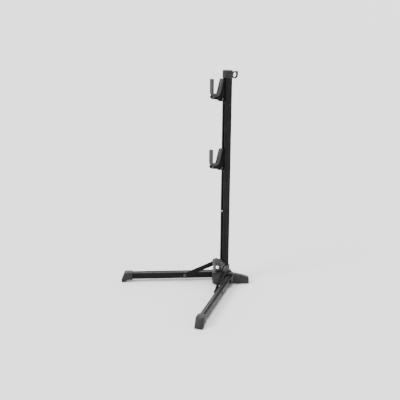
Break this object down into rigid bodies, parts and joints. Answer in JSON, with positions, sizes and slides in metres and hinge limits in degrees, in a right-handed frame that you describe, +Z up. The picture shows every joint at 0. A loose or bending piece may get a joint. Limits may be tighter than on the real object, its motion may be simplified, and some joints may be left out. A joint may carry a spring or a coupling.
{
  "type": "portable bike stand",
  "caption": "Folding floor stand for a bicycle: a black mast with rubber-lined V hooks, a moulded hub with short wings, and long legs that fold up with a sliding collar.",
  "frame": {"origin": "at floor level, in the middle of the stand's width and length", "axes": "+Z up along the mast; -Y is the front, where the hooks point; +X to the right of the stand; it is symmetric about the YZ plane"},
  "size_m": [0.374, 0.2878, 0.59],
  "materials": {
    "tube_black": "black anodised, semi-gloss",
    "bracket_black": "black powder coat, satin",
    "moulding_dark": "fine moulded texture",
    "collar_grey": "fine moulded texture",
    "latch_grey": "fine moulded texture",
    "liner_rubber": "matte",
    "pad_rubber": "matte",
    "steel_black": "blackened",
    "spring_steel": "darkened"
  },
  "bodies": {
    "base": {"mast_tube": "tube_black", "mast_cap": "moulding_dark", "mast_cap_screw": "steel_black", "mast_plug": "moulding_dark", "mast_bolt": "steel_black", "collar_stop_screw": "steel_black", "upper_hook_liner": "liner_rubber", "upper_hook_bracket": "bracket_black", "upper_hook_anchor": "steel_black", "upper_hook_front_bolt": "steel_black", "upper_hook_front_nut": "steel_black", "upper_hook_rear_bolt": "steel_black", "upper_hook_rear_nut": "steel_black", "lower_hook_liner": "liner_rubber", "lower_hook_bracket": "bracket_black", "lower_hook_anchor": "steel_black", "lower_hook_front_bolt": "steel_black", "lower_hook_front_nut": "steel_black", "lower_hook_rear_bolt": "steel_black", "lower_hook_rear_nut": "steel_black", "hub_body": "moulding_dark", "hub_cover": "moulding_dark", "hub_cover_screw_1": "steel_black", "hub_cover_screw_2": "steel_black", "hub_cover_screw_3": "steel_black", "hub_cover_screw_4": "steel_black", "left_wing_pad": "pad_rubber", "left_fold_pin": "steel_black", "right_wing_pad": "pad_rubber", "right_fold_pin": "steel_black"},
    "collar": {"collar": "collar_grey", "left_collar_pin": "steel_black", "right_collar_pin": "steel_black", "latch_pin": "steel_black", "latch_spring": "spring_steel"},
    "latch": {"latch_lever": "latch_grey"},
    "left_leg": {"left_leg_tube": "tube_black", "left_leg_root_block": "moulding_dark", "left_foot": "moulding_dark", "left_foot_pad": "pad_rubber", "left_foot_screw": "steel_black", "left_leg_brace_pin": "steel_black"},
    "left_brace": {"left_brace": "tube_black", "left_brace_rivet": "steel_black"},
    "right_leg": {"right_leg_tube": "tube_black", "right_leg_root_block": "moulding_dark", "right_foot": "moulding_dark", "right_foot_pad": "pad_rubber", "right_foot_screw": "steel_black", "right_leg_brace_pin": "steel_black"},
    "right_brace": {"right_brace": "tube_black", "right_brace_rivet": "steel_black"}
  },
  "joints": [
    {"name": "collar_slide", "type": "slide", "parent": "base", "child": "collar", "axis": [0, 0, 1], "range_m": [0, 0.13851]},
    {"name": "right_leg_fold", "type": "hinge", "parent": "base", "child": "right_leg", "pos_m": [0.02978, 0.07974, 0.01725], "axis": [-0.8261, -0.5635, 0], "range_deg": [0, 90]},
    {"name": "left_leg_fold", "type": "hinge", "parent": "base", "child": "left_leg", "pos_m": [-0.02978, 0.07974, 0.01725], "axis": [-0.8261, 0.5635, 0], "range_deg": [0, 90]},
    {"name": "right_brace_fold", "type": "hinge", "parent": "collar", "child": "right_brace", "pos_m": [0.02105, 0.07258, 0.0555], "axis": [0.8261, 0.5635, 0], "range_deg": [0, 67.63]},
    {"name": "left_brace_fold", "type": "hinge", "parent": "collar", "child": "left_brace", "pos_m": [-0.02105, 0.07258, 0.0555], "axis": [0.8261, -0.5635, 0], "range_deg": [0, 67.63]},
    {"name": "latch_release", "type": "hinge", "parent": "collar", "child": "latch", "pos_m": [0, 0.05629, 0.0715], "axis": [-1, 0, 0], "range_deg": [0, 30], "stiffness_Nm_per_rad": 0.05, "deforming": ["latch_spring"]}
  ],
  "couplings": [
    {"joint": "right_leg_fold", "follows": "collar_slide", "rad_per_m": 11.341},
    {"joint": "left_leg_fold", "follows": "collar_slide", "rad_per_m": 11.341},
    {"joint": "right_brace_fold", "follows": "collar_slide", "rad_per_m": 8.5218},
    {"joint": "left_brace_fold", "follows": "collar_slide", "rad_per_m": 8.5218}
  ]
}
